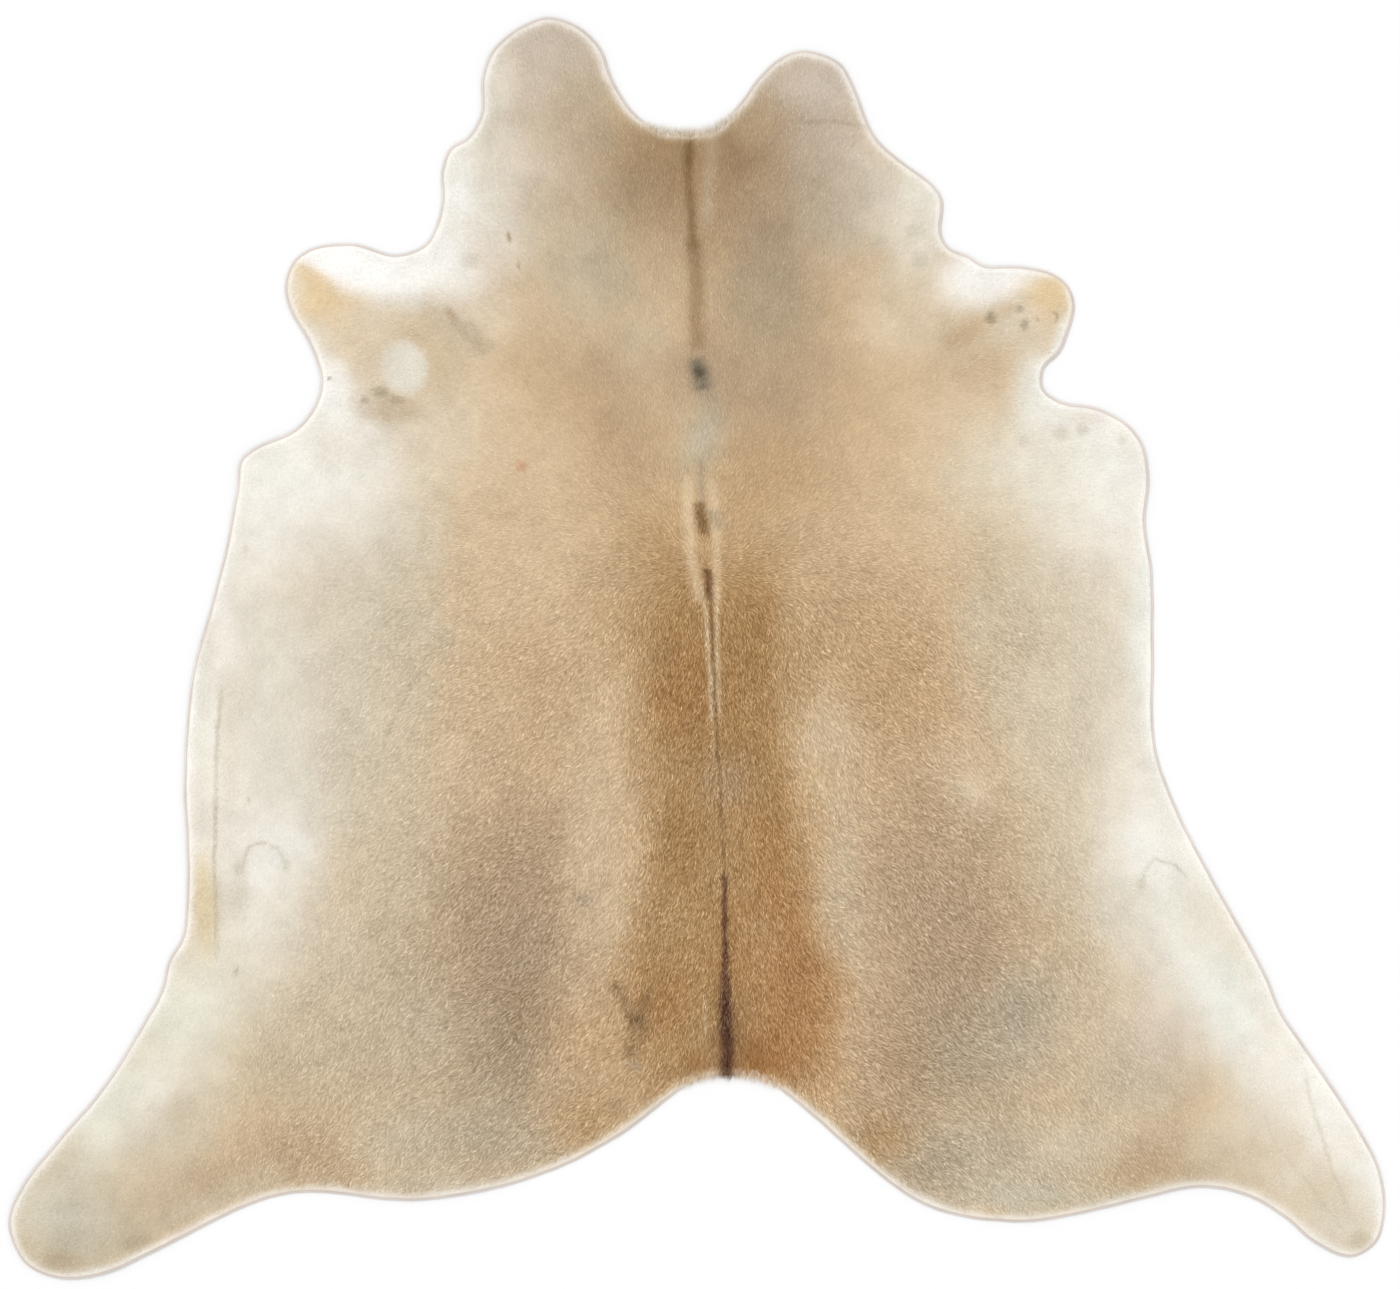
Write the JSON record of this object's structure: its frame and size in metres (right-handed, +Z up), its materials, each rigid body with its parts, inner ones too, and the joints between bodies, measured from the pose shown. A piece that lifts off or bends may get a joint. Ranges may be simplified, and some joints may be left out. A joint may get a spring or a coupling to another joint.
{
  "type": "cowhide rug",
  "caption": "Whole hair-on cowhide laid flat as a floor rug, cut round along the animal's own outline, with neck lobes, legs, soft folds and a dark line along the back.",
  "frame": {"origin": "middle of the hide's length and width, on the floor it lies on", "axes": "+Z up out of the hair side, +Y towards the neck, +X to the right as seen from above"},
  "size_m": [2.339, 2.1444, 0.0097],
  "materials": {
    "hide": "short sleek hair on tanned leather"
  },
  "bodies": {
    "root": {"hide": "hide"}
  },
  "joints": []
}
